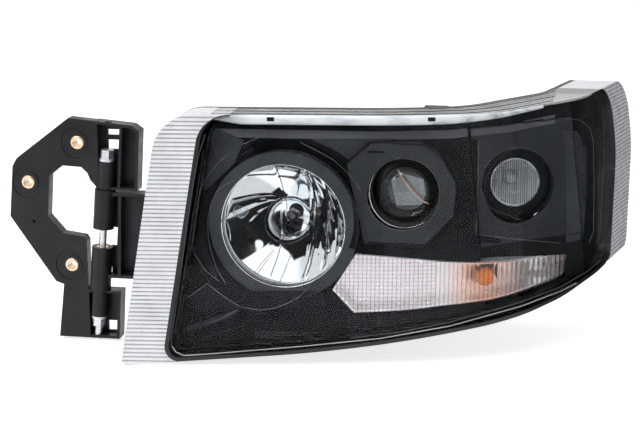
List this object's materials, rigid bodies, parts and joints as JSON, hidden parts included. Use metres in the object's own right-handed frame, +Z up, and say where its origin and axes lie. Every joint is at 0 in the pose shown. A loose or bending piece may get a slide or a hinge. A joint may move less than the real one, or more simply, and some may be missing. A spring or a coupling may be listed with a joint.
{
  "type": "hinged headlight assembly",
  "caption": "Vehicle headlight that swings on a leaning hinge bolt, with aimable main and projector lamps, cornering lamp and indicator.",
  "frame": {"origin": "axis of the middle bracket bore, in the bracket's front face", "axes": "+X towards the outer side of the vehicle, +Y rearwards, +Z up"},
  "size_m": [0.6452, 0.3677, 0.2551],
  "materials": {
    "amber_glass": "amber",
    "black_resin": "moulded, fine grain",
    "cap_rubber": "matte",
    "carrier_resin": "glass-filled grey",
    "clear_cover": "clear, polished",
    "holder_resin": "heat resistant",
    "housing_resin": "satin",
    "indicator_clear": "prismatic",
    "insert_brass": "turned",
    "lamp_glass": "clear",
    "mask_black": "satin",
    "mirror_coat": "mirror",
    "motor_resin": "moulded",
    "panel_grey": "satin dark grey",
    "pressed_glass": "fluted",
    "seal_black": "matte",
    "strip_white": "ribbed, translucent white",
    "white_resin": "slippery white",
    "zinc_steel": "zinc plated"
  },
  "bodies": {
    "bracket": {"hinge_bracket": "black_resin", "bracket_bushes": "insert_brass", "hinge_bolt": "zinc_steel", "hinge_washers": "zinc_steel", "hinge_nut": "zinc_steel"},
    "lamp": {"hinge_arm": "black_resin", "hinge_sleeves": "insert_brass", "arm_screws": "zinc_steel", "housing": "housing_resin", "lens": "clear_cover", "lens_seal": "seal_black", "trim_strip_inner": "strip_white", "trim_strip_outer": "strip_white", "bezel": "mask_black", "main_bezel_ring": "mask_black", "projector_bezel": "mask_black", "projector_trim_ring": "mirror_coat", "cornering_panel": "panel_grey", "cornering_tube": "mask_black", "cornering_lens": "pressed_glass", "cornering_reflector": "mirror_coat", "indicator_lens": "indicator_clear", "indicator_reflector": "mirror_coat", "level_motor": "motor_resin", "motor_screws": "zinc_steel", "pivot_stud": "white_resin", "connector_socket": "motor_resin", "connector_pins": "insert_brass", "vent_caps": "cap_rubber", "lug_bushes": "zinc_steel", "main_cap_seal": "cap_rubber", "projector_cap_seal": "cap_rubber"},
    "pan_pivot": {"pivot_ball": "white_resin"},
    "carrier": {"carrier_frame": "carrier_resin", "carrier_screws": "zinc_steel", "main_reflector": "mirror_coat", "position_bulb": "lamp_glass", "position_bulb_holder": "holder_resin", "projector_reflector": "mirror_coat", "projector_shield": "zinc_steel", "projector_lens_holder": "holder_resin", "projector_lens": "lamp_glass", "pivot_socket": "white_resin", "rod_socket": "white_resin", "pan_nut": "white_resin"},
    "level_rod": {"level_rod": "white_resin"},
    "pan_screw": {"pan_screw": "zinc_steel"},
    "main_cap": {"main_cap": "motor_resin"},
    "projector_cap": {"projector_cap": "motor_resin"},
    "main_bulb": {"main_bulb_glass": "lamp_glass", "main_bulb_base": "holder_resin"},
    "projector_bulb": {"projector_bulb_glass": "lamp_glass", "projector_bulb_base": "holder_resin"},
    "cornering_bulb": {"cornering_bulb": "lamp_glass", "cornering_bulb_holder": "holder_resin"},
    "indicator_bulb": {"indicator_bulb": "amber_glass", "indicator_bulb_holder": "holder_resin"}
  },
  "joints": [
    {"name": "lamp_swing", "type": "hinge", "parent": "bracket", "child": "lamp", "pos_m": [0.083, 0.005, 0], "axis": [0.0776, 0, 0.997], "range_deg": [-55, 0]},
    {"name": "aim_pan", "type": "hinge", "parent": "lamp", "child": "pan_pivot", "pos_m": [0.318, 0.046, 0.05], "axis": [0, 0, 1], "range_deg": [-1.5, 1.5]},
    {"name": "aim_tilt", "type": "hinge", "parent": "pan_pivot", "child": "carrier", "pos_m": [0.318, 0.046, 0.05], "axis": [1, 0, 0], "range_deg": [-2, 2]},
    {"name": "level_rod_slide", "type": "slide", "parent": "lamp", "child": "level_rod", "axis": [0, 1, 0], "range_m": [-0.0052, 0.0052]},
    {"name": "pan_screw_turn", "type": "hinge", "parent": "lamp", "child": "pan_screw", "pos_m": [0.43, 0.15, 0.05], "axis": [0, 1, 0], "range_deg": [-300, 300]},
    {"name": "main_cap_twist", "type": "hinge", "parent": "lamp", "child": "main_cap", "pos_m": [0.278, 0.126, -0.03], "axis": [0, 1, 0], "range_deg": [0, 30]},
    {"name": "projector_cap_twist", "type": "hinge", "parent": "lamp", "child": "projector_cap", "pos_m": [0.398, 0.164, 0.004], "axis": [0, 1, 0], "range_deg": [0, 30]},
    {"name": "main_bulb_twist", "type": "hinge", "parent": "carrier", "child": "main_bulb", "pos_m": [0.278, 0.052, -0.03], "axis": [0, 1, 0], "range_deg": [0, 30]},
    {"name": "projector_bulb_twist", "type": "hinge", "parent": "carrier", "child": "projector_bulb", "pos_m": [0.398, 0.086, 0.004], "axis": [0, 1, 0], "range_deg": [0, 30]},
    {"name": "cornering_holder_twist", "type": "hinge", "parent": "lamp", "child": "cornering_bulb", "pos_m": [0.5055, 0.084, -0.001], "axis": [-0.2419, 0.9703, 0], "range_deg": [0, 45]},
    {"name": "indicator_holder_twist", "type": "hinge", "parent": "lamp", "child": "indicator_bulb", "pos_m": [0.478, 0.033, -0.089], "axis": [0, 1, 0], "range_deg": [0, 45]}
  ],
  "couplings": [
    {"joint": "level_rod_slide", "follows": "aim_tilt", "m_per_rad": 0.143},
    {"joint": "pan_screw_turn", "follows": "aim_pan", "ratio": 175.93}
  ]
}
